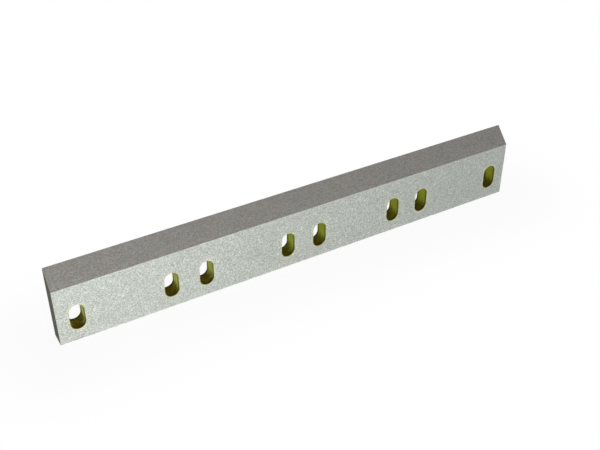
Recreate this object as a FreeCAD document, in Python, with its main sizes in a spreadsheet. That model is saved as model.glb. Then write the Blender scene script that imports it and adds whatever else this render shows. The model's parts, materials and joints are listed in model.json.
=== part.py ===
import FreeCAD, Part

import math
import os

import Sketcher

# Rotor knife of a granulator: one bar of hardened tool steel, ground on every face.
# X runs along the bar, Y through its thickness, and Z from the heel up to the cutting edge.
# The rake face is the +Y face: it leads as the rotor turns, and the bolt heads press on it.
# The seat is the -Y face, which lies on the rotor and is lower than the rake face.
# The bevel falls from the cutting edge, at the top of the rake face, back to the top of the seat.
# The origin is the middle of the heel.

# Each size's name, its value in millimetres (the angle in degrees) and what it is.
SIZES = (
    ("knife_length", 620, "the bar and its cutting edge, end to end"),
    ("knife_width", 95, "from the heel to the cutting edge"),
    ("knife_thickness", 20, "from the seat to the rake face"),
    ("wedge_angle", 45, "of the cutting edge, between the rake face and the bevel"),
    ("bolt_diameter", 16, "of the bolt that passes through each slot"),
    ("bolt_clearance", 1.5, "by which a slot is wider than its bolt"),
    ("slot_travel", 16, "over which the knife moves out on its bolts after regrinding"),
    ("slot_height", 31.5, "from the heel to the middle of each slot"),
    ("pair_count", 3, "pairs of slots along the bar"),
    ("pair_pitch", 44, "between the two slots of a pair"),
    ("pair_spacing", 152.5, "from the middle of one pair to the middle of the next"),
    ("end_margin", 23.5, "from each end of the bar to the slot that stands alone there"),
    ("mouth_chamfer", 0.4, "round both mouths of each slot"),
    ("edge_break", 0.2, "on every edge of the bar that doesn't reach the cutting edge"),
)

# Points nearer to the cutting edge than this, along Z, count as on it.
AT_THE_TIP = 1e-4

# The places on a line, an arc or the sketch itself that a constraint can hold.
START = 1
END = 2
CENTRE = 3
ORIGIN = (-1, START)


def make_sheet(doc):
    sheet = doc.addObject("Spreadsheet::Sheet", "sizes")
    for row, (name, value, meaning) in enumerate(SIZES, 1):
        sheet.set(f"A{row}", f"{name}: {meaning}")
        sheet.set(f"B{row}", str(value))
        sheet.setAlias(f"B{row}", name)
    doc.recompute()
    return sheet


def origin_feature(body, role):
    return next(feature for feature in body.Origin.OriginFeatures if feature.Role == role)


def add_sketch(body, name, plane):
    sketch = body.newObject("Sketcher::SketchObject", name)
    sketch.AttachmentSupport = [(origin_feature(body, plane), "")]
    sketch.MapMode = "FlatFace"
    return sketch


def add_line(sketch, start, end):
    return sketch.addGeometry(Part.LineSegment(FreeCAD.Vector(*start), FreeCAD.Vector(*end)))


def add_arc(sketch, centre, radius, start, end):
    circle = Part.Circle(FreeCAD.Vector(*centre), FreeCAD.Vector(0, 0, 1), radius)
    return sketch.addGeometry(Part.ArcOfCircle(circle, start, end))


def constrain(sketch, kind, *places):
    return sketch.addConstraint(Sketcher.Constraint(kind, *places))


def join_in_turn(sketch, kind, edges):
    """Joins each edge's end to the next one's start, and the last edge to the first."""
    for edge, following in zip(edges, edges[1:] + edges[:1]):
        constrain(sketch, kind, edge, END, following, START)


def drive(sketch, name, rule, kind, *places):
    """Adds a named dimension that follows the sheet by its rule."""
    value = float(sketch.evalExpression(rule))
    if kind == "Angle":
        value = math.radians(value)
    index = constrain(sketch, kind, *places, value)
    sketch.renameConstraint(index, name)
    sketch.setExpression(f"Constraints.{name}", rule)


def draw_section(body, sheet):
    """The bar seen from its end, on the YZ plane: upright, with its top ground to a wedge."""
    sketch = add_sketch(body, "section", "YZ_Plane")
    side = sheet.knife_thickness / 2
    tip = sheet.knife_width
    shoulder = tip - sheet.knife_thickness / math.tan(math.radians(sheet.wedge_angle))
    heel = add_line(sketch, (-side, 0), (side, 0))
    rake_face = add_line(sketch, (side, 0), (side, tip))
    bevel = add_line(sketch, (side, tip), (-side, shoulder))
    seat = add_line(sketch, (-side, shoulder), (-side, 0))
    join_in_turn(sketch, "Coincident", [heel, rake_face, bevel, seat])
    constrain(sketch, "Horizontal", heel)
    constrain(sketch, "Vertical", rake_face)
    constrain(sketch, "Vertical", seat)
    constrain(sketch, "Symmetric", heel, START, heel, END, *ORIGIN)
    drive(sketch, "thickness", "sizes.knife_thickness", "DistanceX", heel, START, heel, END)
    drive(sketch, "width", "sizes.knife_width", "DistanceY", rake_face, START, rake_face, END)
    drive(sketch, "wedge", "sizes.wedge_angle", "Angle", bevel, START, rake_face, END)
    return sketch


def draw_slot(body, sheet, name, place):
    """An upright slot with round ends, on the XZ plane, its place measured left from the middle."""
    sketch = add_sketch(body, name, "XZ_Plane")
    radius = (sheet.bolt_diameter + sheet.bolt_clearance) / 2
    low = sheet.slot_height - sheet.slot_travel / 2
    high = low + sheet.slot_travel
    middle = -sketch.evalExpression(place)
    top = add_arc(sketch, (middle, high), radius, 0, math.pi)
    left = add_line(sketch, (middle - radius, high), (middle - radius, low))
    bottom = add_arc(sketch, (middle, low), radius, math.pi, 2 * math.pi)
    right = add_line(sketch, (middle + radius, low), (middle + radius, high))
    join_in_turn(sketch, "Tangent", [top, left, bottom, right])
    constrain(sketch, "Vertical", left)
    constrain(sketch, "Vertical", right)
    lowest_bolt = "sizes.slot_height - sizes.slot_travel / 2"
    drive(sketch, "radius", "(sizes.bolt_diameter + sizes.bolt_clearance) / 2", "Radius", bottom)
    drive(sketch, "travel", "sizes.slot_travel", "DistanceY", bottom, CENTRE, top, CENTRE)
    drive(sketch, "lowest_bolt", lowest_bolt, "DistanceY", *ORIGIN, bottom, CENTRE)
    drive(sketch, "from_middle", place, "DistanceX", bottom, CENTRE, *ORIGIN)
    return sketch


def add_blank(body, sheet):
    blank = body.newObject("PartDesign::Pad", "blank")
    blank.Profile = draw_section(body, sheet)
    blank.SideType = "Symmetric"
    blank.setExpression("Length", "sizes.knife_length")
    return blank


def add_chamfer(body, name, edges, size):
    """Chamfers these edges of the body as it is so far."""
    base = body.Tip
    numbered = enumerate(base.Shape.Edges, 1)
    chosen = [f"Edge{number}" for number, edge in numbered if any(edge.isSame(e) for e in edges)]
    chamfer = body.newObject("PartDesign::Chamfer", name)
    chamfer.Base = (base, chosen)
    chamfer.setExpression("Size", size)
    return chamfer


def add_slot(body, sheet, name, place):
    slot = body.newObject("PartDesign::Pocket", name)
    slot.Profile = draw_slot(body, sheet, f"{name}_outline", place)
    slot.Type = "ThroughAll"
    slot.SideType = "Symmetric"
    return slot


def add_row(body, name, count, step):
    """One direction of a pattern: copies at equal steps along the bar, to the right."""
    row = body.newObject("PartDesign::LinearPattern", name)
    row.Direction = (origin_feature(body, "X_Axis"), [""])
    row.Mode = "Spacing"
    row.setExpression("Occurrences", count)
    row.setExpression("Offset", step)
    return row


def add_paired_slots(body, sheet):
    """The first slot from the left is repeated within its pair, and the pair along the bar."""
    half_row = "sizes.pair_spacing * (sizes.pair_count - 1) / 2"
    first = add_slot(body, sheet, "first_slot", f"{half_row} + sizes.pair_pitch / 2")
    slots = body.newObject("PartDesign::MultiTransform", "paired_slots")
    slots.Originals = [first]
    slots.Transformations = [
        add_row(body, "within_pair", "2", "sizes.pair_pitch"),
        add_row(body, "pair_to_pair", "sizes.pair_count", "sizes.pair_spacing"),
    ]
    body.Tip = slots
    return slots


def add_end_slots(body, sheet):
    """The single slot at the left end is mirrored to the right end."""
    left = add_slot(body, sheet, "left_end_slot", "sizes.knife_length / 2 - sizes.end_margin")
    slots = body.newObject("PartDesign::Mirrored", "end_slots")
    slots.Originals = [left]
    slots.MirrorPlane = (origin_feature(body, "YZ_Plane"), [""])
    body.Tip = slots
    return slots


def edges_below_tip(shape, tip):
    """The edges that keep clear of the cutting edge, which stays sharp to its corners."""
    return [e for e in shape.Edges if all(v.Z < tip - AT_THE_TIP for v in e.Vertexes)]


def slot_mouths(shape):
    """The edges of every opening in a face."""
    openings = [w for f in shape.Faces for w in f.Wires if not w.isSame(f.OuterWire)]
    return [edge for opening in openings for edge in opening.Edges]


def make_knife(doc, sheet):
    knife = doc.addObject("PartDesign::Body", "rotor_knife")
    knife.Label = "rotor_knife"
    knife.Placement = FreeCAD.Placement(FreeCAD.Vector(0, 0, 0), FreeCAD.Rotation())
    add_blank(knife, sheet)
    doc.recompute()
    broken = edges_below_tip(knife.Tip.Shape, sheet.knife_width)
    add_chamfer(knife, "broken_edges", broken, "sizes.edge_break")
    doc.recompute()
    for add_slots in (add_paired_slots, add_end_slots):
        solid = knife.Tip.Shape.Volume
        add_slots(knife, sheet)
        doc.recompute()
        if not knife.Tip.Shape.Volume < solid:
            raise RuntimeError(f"{knife.Tip.Label} took no steel away")
    add_chamfer(knife, "mouth_chamfers", slot_mouths(knife.Tip.Shape), "sizes.mouth_chamfer")
    doc.recompute()
    return knife


def check(doc, parts):
    for item in doc.Objects:
        if {"Invalid", "Error"} & set(item.State):
            raise RuntimeError(f"{item.Label} was not rebuilt: {item.State}")
    for part in parts:
        if part.Shape.isNull() or not part.Shape.isValid():
            raise RuntimeError(f"{part.Label} has no valid solid")


def main():
    doc = FreeCAD.newDocument("rotor_knife")
    sheet = make_sheet(doc)
    parts = [make_knife(doc, sheet)]
    check(doc, parts)
    os.makedirs("parts", exist_ok=True)
    for part in parts:
        part.Shape.exportStep(f"parts/{part.Label}.step")
        print(part.Label, f"{part.Shape.Volume / 1000:.1f} cm3", part.Shape.BoundBox)


main()
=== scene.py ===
import json
import math
from collections import namedtuple
from functools import reduce
from itertools import combinations

import bpy
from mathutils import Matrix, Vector


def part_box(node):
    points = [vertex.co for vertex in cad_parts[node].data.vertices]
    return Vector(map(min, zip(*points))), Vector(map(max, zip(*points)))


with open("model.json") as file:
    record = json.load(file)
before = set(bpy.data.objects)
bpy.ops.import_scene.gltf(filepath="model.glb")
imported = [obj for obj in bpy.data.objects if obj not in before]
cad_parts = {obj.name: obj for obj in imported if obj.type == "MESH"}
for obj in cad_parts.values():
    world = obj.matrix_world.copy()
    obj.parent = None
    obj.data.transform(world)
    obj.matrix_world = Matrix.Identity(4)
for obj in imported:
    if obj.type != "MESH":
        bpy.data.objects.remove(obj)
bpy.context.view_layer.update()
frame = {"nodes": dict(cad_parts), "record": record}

# The looks of a granulator's rotor knife: one bar of hardened tool steel. Every face was ground before the
# hardening, and the broad faces and the bevel were ground again after it.
# X runs along the bar. The seat is the -Y face, the rake face is the +Y face, and the heel is on the floor.
# The bevel falls from the cutting edge, at the top of the rake face, to the top of the seat.
MM = 0.001

KNIFE = frame["nodes"]["rotor_knife"]
LOW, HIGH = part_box("rotor_knife")
MIDDLE = (LOW + HIGH) / 2

# The frame's mounts say where the slots are and how large. A slot is a round hole drawn out upwards.
# Its reach is how far it goes above and below its middle.
SLOTS = [mount for mount in frame["record"]["mounts"] if mount["name"].startswith("slot_")]
SLOT_PLACES = [slot["pos_m"][0] for slot in SLOTS]
SLOT_HEIGHT = SLOTS[0]["pos_m"][2]
SLOT_RADIUS = SLOTS[0]["dims"]["hole_r_mm"] * MM
SLOT_REACH = SLOTS[0]["dims"]["slot_length_mm"] * MM / 2

# The angle of the cutting edge, between the rake face and the bevel, and the way the bevel faces.
WEDGE_ANGLE = math.radians(45)
BEVEL_AIM = Vector((0, -math.cos(WEDGE_ANGLE), math.sin(WEDGE_ANGLE)))


def put_in_scene(name, data):
    thing = bpy.data.objects.new(name, data)
    bpy.context.scene.collection.objects.link(thing)
    return thing


def towards(azimuth, elevation):
    """The way out from the knife, in degrees. Azimuth 0 is before the seat, and 90 is off the right end."""
    turn, rise = math.radians(azimuth), math.radians(elevation)
    return Vector((math.sin(turn) * math.cos(rise), -math.cos(turn) * math.cos(rise), math.sin(rise)))


def aim(thing, target, azimuth, elevation, distance):
    """Stands a camera or a lamp off from its target and turns it to face it."""
    out = towards(azimuth, elevation)
    thing.location = target + out * distance
    thing.rotation_mode = "QUATERNION"
    thing.rotation_quaternion = (-out).to_track_quat("-Z", "Y")


# Camera

# Where the photograph was taken from, solved from the bar's corners, and the lens in millimetres.
CAMERA_AZIMUTH = -29.79
CAMERA_ELEVATION = 35.55
CAMERA_DISTANCE = 1.1302
CAMERA_LENS = 55.70


def make_camera():
    data = bpy.data.cameras.new("camera")
    data.lens = CAMERA_LENS
    camera = put_in_scene("camera", data)
    aim(camera, MIDDLE, CAMERA_AZIMUTH, CAMERA_ELEVATION, CAMERA_DISTANCE)
    bpy.context.scene.camera = camera


# Node trees

class Wiring:
    """A node tree and short ways to add to it. A socket takes a plain value or another node's output."""

    def __init__(self, tree):
        self.tree = tree

    def feed(self, socket, value):
        if isinstance(value, bpy.types.NodeSocket):
            self.tree.links.new(value, socket)
        else:
            socket.default_value = value

    def node(self, kind, sockets=None, **settings):
        """Adds a shader node, sets it up, and feeds its sockets, given by name or number."""
        made = self.tree.nodes.new("ShaderNode" + kind)
        for setting, value in settings.items():
            setattr(made, setting, value)
        for socket, value in (sockets or {}).items():
            self.feed(made.inputs[socket], value)
        return made

    def math(self, operation, *values):
        return self.node("Math", dict(enumerate(values)), operation=operation).outputs[0]

    def vector(self, operation, *values):
        return self.node("VectorMath", dict(enumerate(values)), operation=operation).outputs["Vector"]

    def dot(self, vector, other):
        return self.node("VectorMath", {0: vector, 1: other}, operation="DOT_PRODUCT").outputs["Value"]

    def parts(self, vector):
        return self.node("SeparateXYZ", {0: vector}).outputs

    def past(self, value, limit):
        """How far a value lies past a limit, up or down, and 0 within it."""
        return self.math("MAXIMUM", self.math("SUBTRACT", self.math("ABSOLUTE", value), limit), 0.0)

    def length(self, one, other):
        """The length of a line that goes this far one way and this far across it."""
        return self.math("SQRT", self.math("MULTIPLY_ADD", one, one, self.math("MULTIPLY", other, other)))

    def ramp(self, value, start, end, low=0.0, high=1.0):
        """Goes smoothly from low to high as the value goes from start to end."""
        sockets = {"Value": value, "From Min": start, "From Max": end, "To Min": low, "To Max": high}
        return self.node("MapRange", sockets, interpolation_type="SMOOTHSTEP").outputs["Result"]

    def fade(self, value, start, end, most=1.0):
        """Goes smoothly from the most to 0 as the value goes from start to end."""
        return self.ramp(value, start, end, most, 0.0)

    def blend(self, share, colour, other):
        mix = self.node("Mix", data_type="RGBA")
        for socket, value in zip([s for s in mix.inputs if s.enabled], (share, colour, other)):
            self.feed(socket, value)
        return next(s for s in mix.outputs if s.enabled)

    def shaded(self, colour, shade):
        """The colour made lighter or darker by a factor."""
        sockets = {"Vector": colour, "Scale": shade}
        return self.node("VectorMath", sockets, operation="SCALE").outputs["Vector"]

    def noise(self, place, size, detail, roughness):
        """Lumps of about this size, from 0 to 1 and mostly about a half."""
        scale = self.math("DIVIDE", 1.0, size)
        sockets = {"Vector": place, "Scale": scale, "Detail": detail, "Roughness": roughness}
        return self.node("TexNoise", sockets).outputs["Fac"]

    def shade(self, value, contrast):
        """A factor about 1, from a value about a half."""
        return self.math("MULTIPLY_ADD", self.math("SUBTRACT", value, 0.5), contrast, 1.0)

    def wavering(self, width, noise):
        """A width that a noise about a half makes wider and narrower from place to place."""
        return self.math("MULTIPLY", width, self.math("MULTIPLY", noise, 2.0))

    def effect(self, tree, **sockets):
        """Places a shared effect with its own values, and gives its outputs."""
        made = self.node("Group", node_tree=tree)
        for name, value in sockets.items():
            self.feed(made.inputs[name.capitalize()], value)
        return made.outputs


def fresh_wiring(owner):
    """The wiring of a new material or world, with nothing in it yet."""
    owner.use_nodes = True
    owner.node_tree.nodes.clear()
    return Wiring(owner.node_tree)


def rgb(red, green, blue):
    """A colour as a picture editor writes it, 0 to 255, turned into light by the screens' usual curve."""
    def light(value):
        share = value / 255
        return share / 12.92 if share <= 0.04045 else ((share + 0.055) / 1.055) ** 2.4
    return (light(red), light(green), light(blue), 1.0)


def new_effect(name, inputs, outputs):
    """An empty node group. The inputs' usual values and the outputs are given by name."""
    tree = bpy.data.node_groups.new(name, "ShaderNodeTree")
    tree.interface.new_socket("Place", in_out="INPUT", socket_type="NodeSocketVector")
    for socket_name, usual in inputs.items():
        socket = tree.interface.new_socket(socket_name, in_out="INPUT", socket_type="NodeSocketFloat")
        socket.default_value = usual
    for socket_name in outputs:
        tree.interface.new_socket(socket_name, in_out="OUTPUT", socket_type="NodeSocketFloat")
    given = tree.nodes.new("NodeGroupInput").outputs
    result = tree.nodes.new("NodeGroupOutput").inputs
    return Wiring(tree), given, result


# Effects that the finishes are made of

# A grain is painted lighter, as a painted glint, where its chance, from 0 to 1, is over this.
GLINT_FROM = 0.92
# The grains' colours are spread evenly about this one. How a grain's differs from it is the grain's tilt.
MID_COLOUR = (0.5, 0.5, 0.5)
# How steep the grains' facets, their unevenness and the grinding scratches are beside each other.
FACET_RISE = 3.0
UNEVEN_RISE = 2.0
SCRATCH_RISE = 2.0

# Places are squeezed along X for the scratches, which draws them out along the bar.
SCRATCH_SQUEEZE = (0.03, 1.0, 1.0)
# A noise seldom goes beyond these values, so this much of it is made to fill the whole range.
SCRATCH_SPAN = (0.2, 0.8)
PATCH_SPAN = (0.3, 0.7)

# The rubbed band and the oil's rim waver in lumps of these sizes.
RUBBING_LUMPS = 3 * MM
CREEP_LUMPS = 2.5 * MM


def make_speckle():
    """The steel's grains: each has its own shade and its own tilt, over a finer unevenness. A few are
    painted lighter as painted glints.
    """
    inputs = {"Grain": 1.0 * MM, "Contrast": 0.5, "Glint": 0.1}
    wiring, given, result = new_effect("speckle", inputs, ["Shade", "Height"])
    frequency = wiring.math("DIVIDE", 1.0, given["Grain"])
    grains = wiring.node("TexVoronoi", {"Vector": given["Place"], "Scale": frequency}).outputs
    chance = wiring.parts(grains["Color"])["X"]
    fine = wiring.noise(given["Place"], given["Grain"], detail=6.0, roughness=0.75)
    both = wiring.math("MULTIPLY_ADD", chance, 0.5, wiring.math("MULTIPLY", fine, 0.5))
    # Painted glint: the rarest grains are made lighter in colour.
    glint = wiring.math("MULTIPLY", wiring.ramp(chance, GLINT_FROM, 1.0), given["Glint"])
    wiring.feed(result["Shade"], wiring.math("ADD", wiring.shade(both, given["Contrast"]), glint))
    off_middle = wiring.vector("SUBTRACT", given["Place"], grains["Position"])
    tilt = wiring.vector("SUBTRACT", grains["Color"], MID_COLOUR)
    facet = wiring.math("MULTIPLY", wiring.dot(off_middle, tilt), frequency)
    uneven = wiring.math("MULTIPLY", both, UNEVEN_RISE)
    wiring.feed(result["Height"], wiring.math("MULTIPLY_ADD", facet, FACET_RISE, uneven))
    return wiring.tree


def make_grinding():
    """Fine straight scratches that the grinding wheel leaves along the bar."""
    inputs = {"Pitch": 0.4 * MM, "Contrast": 0.1}
    wiring, given, result = new_effect("grinding", inputs, ["Shade", "Height"])
    squeezed = wiring.vector("MULTIPLY", given["Place"], SCRATCH_SQUEEZE)
    scratches = wiring.noise(squeezed, given["Pitch"], detail=2.0, roughness=0.7)
    wiring.feed(result["Shade"], wiring.shade(scratches, given["Contrast"]))
    wiring.feed(result["Height"], scratches)
    return wiring.tree


def make_mottling():
    """Slow changes over the steel, in patches from a few millimetres to a few centimetres wide."""
    inputs = {"Patch": 40 * MM, "Contrast": 0.1}
    wiring, given, result = new_effect("mottling", inputs, ["Shade", "Share"])
    patches = wiring.noise(given["Place"], given["Patch"], detail=3.0, roughness=0.5)
    wiring.feed(result["Shade"], wiring.shade(patches, given["Contrast"]))
    wiring.feed(result["Share"], wiring.ramp(patches, *PATCH_SPAN))
    return wiring.tree


def make_rubbing():
    """How much handling has rubbed the steel: 1 on the bar's edges, and 0 further in than the width."""
    wiring, given, result = new_effect("rubbing", {"Width": 1.5 * MM}, ["Share"])
    x, y, z = wiring.parts(given["Place"])
    bevel_at = BEVEL_AIM.dot((0, HIGH.y, HIGH.z))
    # A place's depth under the heel, the nearer end, the seat, the rake face and the bevel. An edge is as
    # far off as the farther of its two faces. Faces that don't meet are too far apart to matter.
    depths = [
        z,
        wiring.math("SUBTRACT", HIGH.x, wiring.math("ABSOLUTE", x)),
        wiring.math("SUBTRACT", y, LOW.y),
        wiring.math("SUBTRACT", HIGH.y, y),
        wiring.math("SUBTRACT", bevel_at, wiring.dot(given["Place"], BEVEL_AIM)),
    ]
    from_edges = [wiring.math("MAXIMUM", *pair) for pair in combinations(depths, 2)]
    nearest = reduce(lambda one, other: wiring.math("MINIMUM", one, other), from_edges)
    ragged = wiring.noise(given["Place"], RUBBING_LUMPS, detail=3.0, roughness=0.6)
    wiring.feed(result["Share"], wiring.fade(nearest, 0.0, wiring.wavering(given["Width"], ragged)))
    return wiring.tree


def make_oil_creep():
    """How much oil has crept out of the slots: 1 at their mouths, and 0 further off than the reach."""
    wiring, given, result = new_effect("oil_creep", {"Reach": 5 * MM}, ["Share"])
    x, _, z = wiring.parts(given["Place"])
    aside = [wiring.math("ABSOLUTE", wiring.math("SUBTRACT", x, place)) for place in SLOT_PLACES]
    across = reduce(lambda one, other: wiring.math("MINIMUM", one, other), aside)
    along = wiring.past(wiring.math("SUBTRACT", z, SLOT_HEIGHT), SLOT_REACH - SLOT_RADIUS)
    from_slot = wiring.math("SUBTRACT", wiring.length(across, along), SLOT_RADIUS)
    wet = wiring.noise(given["Place"], CREEP_LUMPS, detail=3.0, roughness=0.5)
    wiring.feed(result["Share"], wiring.fade(from_slot, 0.0, wiring.wavering(given["Reach"], wet)))
    return wiring.tree


SPECKLE = make_speckle()
GRINDING = make_grinding()
MOTTLING = make_mottling()
RUBBING = make_rubbing()
OIL_CREEP = make_oil_creep()


# Finishes

class Finish:
    """A finish of the steel in the making: a material, its shader, and the effects every finish has."""

    def __init__(self, name, grain, contrast, glint, scratches, patch, unevenness):
        self.material = bpy.data.materials.new(name)
        wiring = fresh_wiring(self.material)
        shader = wiring.node("BsdfPrincipled")
        wiring.node("OutputMaterial", {"Surface": shader.outputs[0]})
        place = wiring.node("TexCoord").outputs["Object"]
        self.speckle = wiring.effect(SPECKLE, place=place, grain=grain, contrast=contrast, glint=glint)
        self.grinding = wiring.effect(GRINDING, place=place, contrast=scratches)
        self.mottling = wiring.effect(MOTTLING, place=place, patch=patch, contrast=unevenness)
        self.wiring = wiring
        self.shader = shader.inputs
        self.place = place

    def complete(self, colour, metallic, rough, smooth, relief, specular=0.5):
        """Shades the colour by the effects, and sets how the steel shines.

        It is rough in the scratches' hollows and smooth on their ridges. Relief is how deep the grain is.
        """
        wiring = self.wiring
        for effect in (self.speckle, self.grinding, self.mottling):
            colour = wiring.shaded(colour, effect["Shade"])
        wiring.feed(self.shader["Base Color"], colour)
        self.shader["Metallic"].default_value = metallic
        self.shader["Specular IOR Level"].default_value = specular
        scratches = self.grinding["Height"]
        wiring.feed(self.shader["Roughness"], wiring.ramp(scratches, *SCRATCH_SPAN, rough, smooth))
        height = wiring.math("MULTIPLY_ADD", scratches, SCRATCH_RISE, self.speckle["Height"])
        bump = wiring.node("Bump", {"Height": height, "Strength": 1.0, "Distance": relief})
        wiring.feed(self.shader["Normal"], bump.outputs["Normal"])
        return self.material


SEAT_LIGHT = rgb(188, 193, 186)
SEAT_DULL = rgb(185, 190, 183)
SEAT_RUBBED = rgb(198, 199, 192)
OIL_STRAW = rgb(208, 210, 176)
# On an edge, this share of the colour is the rubbed steel's. At a slot's mouth, this share is the oil's.
RUBBED_SHARE = 0.3
OILED_SHARE = 0.5


def make_ground_face():
    """The seat and the rake face: pale, slightly green steel with a matt sparkling grain."""
    finish = Finish(
        "ground_face", grain=0.9 * MM, contrast=1.25, glint=0.2,
        scratches=0.4, patch=25 * MM, unevenness=0.04,
    )
    wiring = finish.wiring
    steel = wiring.blend(finish.mottling["Share"], SEAT_LIGHT, SEAT_DULL)
    rubbed = wiring.effect(RUBBING, place=finish.place, width=1.2 * MM)["Share"]
    oiled = wiring.effect(OIL_CREEP, place=finish.place, reach=5 * MM)["Share"]
    steel = wiring.blend(wiring.math("MULTIPLY", rubbed, RUBBED_SHARE), steel, SEAT_RUBBED)
    steel = wiring.blend(wiring.math("MULTIPLY", oiled, OILED_SHARE), steel, OIL_STRAW)
    return finish.complete(steel, metallic=0.35, rough=0.6, smooth=0.42, relief=0.17 * MM)


# Painted shade: the bevel is the same ground steel as the seat, but its colours are darker and browner.
BEVEL_WARM_PAINTED_SHADE = rgb(126, 122, 117)
BEVEL_COOL_PAINTED_SHADE = rgb(123, 122, 117)


def make_ground_bevel():
    """The bevel: coloured darker and browner than the seat as painted shade, with a coarser grain and
    plainer scratches.
    """
    finish = Finish(
        "ground_bevel", grain=1.2 * MM, contrast=0.9, glint=0.0,
        scratches=0.6, patch=14 * MM, unevenness=0.05,
    )
    steel = finish.wiring.blend(finish.mottling["Share"], BEVEL_WARM_PAINTED_SHADE, BEVEL_COOL_PAINTED_SHADE)
    return finish.complete(steel, metallic=0.4, rough=0.6, smooth=0.48, relief=0.03 * MM)


# Painted shade: the ends and the heel are coloured dark and brown.
END_PAINTED_SHADE = rgb(63, 62, 51)
END_BROWN_PAINTED_SHADE = rgb(55, 53, 40)


def make_hardened_end():
    """The two ends and the heel: ground before hardening, and coloured dark and brown as painted shade."""
    finish = Finish(
        "hardened_end", grain=0.9 * MM, contrast=0.8, glint=0.0,
        scratches=0.2, patch=12 * MM, unevenness=0.3,
    )
    painted_end_shade = finish.wiring.blend(finish.mottling["Share"], END_PAINTED_SHADE, END_BROWN_PAINTED_SHADE)
    return finish.complete(painted_end_shade, metallic=0.1, rough=0.7, smooth=0.5, relief=0.05 * MM, specular=0.2)


FILM_PAINTED_LIGHT = rgb(213, 217, 136)
FILM_OLIVE = rgb(153, 161, 47)
BOTTOM_SHADE_BROWN = rgb(90, 70, 12)
BOTTOM_SHADE_GREEN = rgb(74, 78, 24)
FILM_DARK = rgb(52, 56, 14)

# Painted light: from the first of these places along X, the film is painted paler and lighter towards the
# left end.
# It is at its fullest at the second, which is beyond the bar.
PAINTED_LIGHT_FROM = 0.15
PAINTED_LIGHT_FULL_AT = -0.5
# The film's colours are multiplied by the first of these, and by the sum of both where the painted light is
# fullest.
FILM_LIGHT = 1.03
PAINTED_LIGHT_LEVEL = 0.25

# Painted shade at each slot's bottom: full up to the first of these heights over its lowest point, and
# fading out up to the second. The third is how much both of them waver.
BOTTOM_SHADE_FULL = 2 * MM
BOTTOM_SHADE_GONE = 17 * MM
BOTTOM_SHADE_WAVER = 4 * MM
# The painted shade lies in brown and green streaks of about this width. Places are squeezed along Y for
# them, which draws them out through the bar.
STREAK_WIDTH = 5 * MM
STREAK_SQUEEZE = (1.0, 0.15, 1.0)
STREAK_SPAN = (0.35, 0.65)

# The film is baked dark by this share at both mouths, and less and less down to this depth.
BAKED_SHARE = 0.8
BAKED_DEPTH = 6 * MM


def make_quench_film():
    """The slots' walls: an olive film of quenching oil, dark at the mouths, with painted shade towards each
    slot's bottom and painted light towards the left end.
    """
    finish = Finish(
        "quench_film", grain=0.9 * MM, contrast=0.4, glint=0.0,
        scratches=0.0, patch=8 * MM, unevenness=0.3,
    )
    wiring = finish.wiring
    x, y, z = wiring.parts(finish.place)
    # Painted light: the film is paler and lighter towards the left end.
    painted_light = wiring.fade(x, PAINTED_LIGHT_FULL_AT, PAINTED_LIGHT_FROM)
    # Painted shade, brown and green, towards each slot's bottom.
    height = wiring.math("MULTIPLY_ADD", finish.mottling["Share"], BOTTOM_SHADE_WAVER, z)
    lowest = SLOT_HEIGHT - SLOT_REACH
    bottom_shade_share = wiring.fade(height, lowest + BOTTOM_SHADE_FULL, lowest + BOTTOM_SHADE_GONE)
    depth = wiring.math("SUBTRACT", HIGH.y, wiring.math("ABSOLUTE", y))
    baked = wiring.fade(depth, 0.0, BAKED_DEPTH, BAKED_SHARE)
    squeezed = wiring.vector("MULTIPLY", finish.place, STREAK_SQUEEZE)
    streaks = wiring.noise(squeezed, STREAK_WIDTH, detail=2.0, roughness=0.5)
    bottom_shade_colour = wiring.blend(wiring.ramp(streaks, *STREAK_SPAN), BOTTOM_SHADE_BROWN, BOTTOM_SHADE_GREEN)
    film = wiring.blend(bottom_shade_share, wiring.blend(painted_light, FILM_OLIVE, FILM_PAINTED_LIGHT), bottom_shade_colour)
    film = wiring.blend(baked, film, FILM_DARK)
    film = wiring.shaded(film, wiring.math("MULTIPLY_ADD", painted_light, PAINTED_LIGHT_LEVEL, FILM_LIGHT))
    return finish.complete(film, metallic=0.0, rough=0.7, smooth=0.5, relief=0.05 * MM, specular=0.0)


MOUTH_STRAW = rgb(160, 163, 124)
MOUTH_OLIVE = rgb(142, 145, 100)


def make_slot_mouth():
    """The chamfers round the slots' mouths: steel stained straw by the oil."""
    finish = Finish(
        "slot_mouth", grain=0.8 * MM, contrast=0.4, glint=0.0,
        scratches=0.0, patch=6 * MM, unevenness=0.2,
    )
    stained = finish.wiring.blend(finish.mottling["Share"], MOUTH_STRAW, MOUTH_OLIVE)
    return finish.complete(stained, metallic=0.1, rough=0.7, smooth=0.55, relief=0.03 * MM, specular=0.2)


EDGE_LIGHT = rgb(184, 187, 180)
EDGE_DULL = rgb(170, 172, 166)


def make_broken_edge():
    """The narrow chamfers along the bar's own edges."""
    finish = Finish(
        "broken_edge", grain=0.8 * MM, contrast=0.5, glint=0.1,
        scratches=0.2, patch=8 * MM, unevenness=0.2,
    )
    steel = finish.wiring.blend(finish.mottling["Share"], EDGE_LIGHT, EDGE_DULL)
    return finish.complete(steel, metallic=0.3, rough=0.65, smooth=0.5, relief=0.05 * MM, specular=0.2)


# Which finish each face takes

# A face points along a direction where the cosine of the angle between them is over this.
ALONG = 0.99
# It is square to the seat where its own direction has less of Y in it than this.
SQUARE = 0.01
# It lies on an end or the heel where it is nearer than this.
HAIR = 0.05 * MM
# It belongs to a slot where it is within this margin of it.
SLOT_MARGIN = 2 * MM
# Some chamfers of the slots' mouths point as the bevel does, but only the bevel is this far above the slots.
BEVEL_MARGIN = 5 * MM


def points_along(face, direction):
    return face.normal.dot(direction) > ALONG


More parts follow.
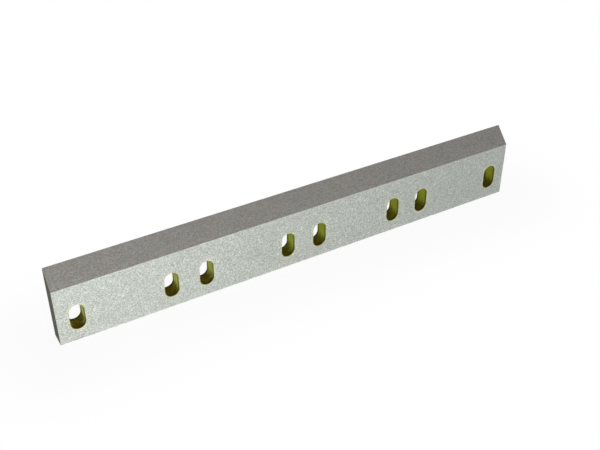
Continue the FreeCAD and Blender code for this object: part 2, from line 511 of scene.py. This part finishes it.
def finish_of(face):
    """The name of a face's finish, from where it points and lies."""
    across = Vector((0, 1, 0))
    x, _, z = face.center
    if points_along(face, across) or points_along(face, -across):
        return "ground_face"
    if points_along(face, BEVEL_AIM) and z > SLOT_HEIGHT + SLOT_REACH + BEVEL_MARGIN:
        return "ground_bevel"
    if HIGH.x - abs(x) < HAIR or z - LOW.z < HAIR:
        return "hardened_end"
    aside = min(abs(x - place) for place in SLOT_PLACES)
    off_middle = abs(z - SLOT_HEIGHT)
    if aside > SLOT_RADIUS + SLOT_MARGIN or off_middle > SLOT_REACH + SLOT_MARGIN:
        return "broken_edge"
    return "quench_film" if abs(face.normal.y) < SQUARE else "slot_mouth"


def dress_knife():
    finishes = [
        make_ground_face(), make_ground_bevel(), make_hardened_end(),
        make_quench_film(), make_slot_mouth(), make_broken_edge(),
    ]
    material_slots = KNIFE.data.materials
    material_slots.clear()
    for finish in finishes:
        material_slots.append(finish)
    numbers = {finish.name: number for number, finish in enumerate(finishes)}
    for face in KNIFE.data.polygons:
        face.material_index = numbers[finish_of(face)]


# Floor, backdrop and light

WHITE = (1.0, 1.0, 1.0, 1.0)
PALE_PAPER = (0.8, 0.8, 0.8, 1.0)
# The floor reaches this far each way, and lies a little under the heel, so that the two don't touch.
FLOOR_HALF = 20.0
FLOOR_DROP = 0.2 * MM
# The floor shows nearly white under the knife, so that a soft shadow stays, and white from this far off.
NEAR_WHITE = 0.93
SHADOW_REACH = 0.15
# The backdrop's strength as a light. It is seen at a strength of 1, which is white.
WORLD_LIGHT = 0.16


def seen(wiring):
    """1 for what the camera sees, also by way of gloss or glass, and 0 for what lights the knife."""
    path = wiring.node("LightPath").outputs
    rays = [path[kind] for kind in ("Is Camera Ray", "Is Glossy Ray", "Is Transmission Ray")]
    return reduce(lambda one, other: wiring.math("MAXIMUM", one, other), rays)


def make_floor():
    """Pale paper that shows white all round, and keeps a soft shadow of the knife."""
    corners = [(-1, -1), (1, -1), (1, 1), (-1, 1)]
    mesh = bpy.data.meshes.new("floor")
    mesh.from_pydata([(x * FLOOR_HALF, y * FLOOR_HALF, 0) for x, y in corners], [], [(0, 1, 2, 3)])
    floor = put_in_scene("floor", mesh)
    floor.location.z = -FLOOR_DROP
    material = bpy.data.materials.new("floor_paper")
    wiring = fresh_wiring(material)
    paper = wiring.node("BsdfDiffuse", {"Color": PALE_PAPER})
    white = wiring.node("Emission", {"Color": WHITE, "Strength": 1.0})
    x, y, _ = wiring.parts(wiring.node("TexCoord").outputs["Object"])
    from_knife = wiring.length(wiring.past(x, HIGH.x), wiring.past(y, HIGH.y))
    whiteness = wiring.ramp(from_knife, 0.0, SHADOW_REACH, NEAR_WHITE, 1.0)
    share = wiring.math("MULTIPLY", seen(wiring), whiteness)
    mixed = wiring.node("MixShader", {0: share, 1: paper.outputs[0], 2: white.outputs[0]})
    wiring.node("OutputMaterial", {"Surface": mixed.outputs[0]})
    mesh.materials.append(material)


def make_backdrop():
    world = bpy.data.worlds.new("studio")
    wiring = fresh_wiring(world)
    strength = wiring.ramp(seen(wiring), 0.0, 1.0, WORLD_LIGHT, 1.0)
    light = wiring.node("Background", {"Color": WHITE, "Strength": strength})
    wiring.node("OutputWorld", {"Surface": light.outputs[0]})
    bpy.context.scene.world = world


# Each softbox is aimed at a point on the knife's middle line, at aimed_x. Its angles are in degrees, its
# distance and size in metres and its power in watts.
Softbox = namedtuple("Softbox", "name aimed_x azimuth elevation distance size power")

SOFTBOXES = (
    Softbox("key", -0.28, -11, 8, 0.75, 0.42, 5.93),
    Softbox("fill", 0.0, 50, 40, 1.8, 1.2, 4.2),
    Softbox("overhead", 0.0, 0, 80, 1.5, 1.0, 0.95),
    Softbox("back", 0.0, 160, 35, 1.6, 1.0, 9.0),
)


def make_softbox(softbox):
    lamp = bpy.data.lights.new(softbox.name, "AREA")
    lamp.shape = "DISK"
    lamp.size = softbox.size
    lamp.energy = softbox.power
    target = MIDDLE + Vector((softbox.aimed_x, 0, 0))
    aim(put_in_scene(softbox.name, lamp), target, softbox.azimuth, softbox.elevation, softbox.distance)


make_camera()
make_floor()
make_backdrop()
for softbox in SOFTBOXES:
    make_softbox(softbox)
dress_knife()

bpy.context.scene.view_settings.view_transform = "Standard"
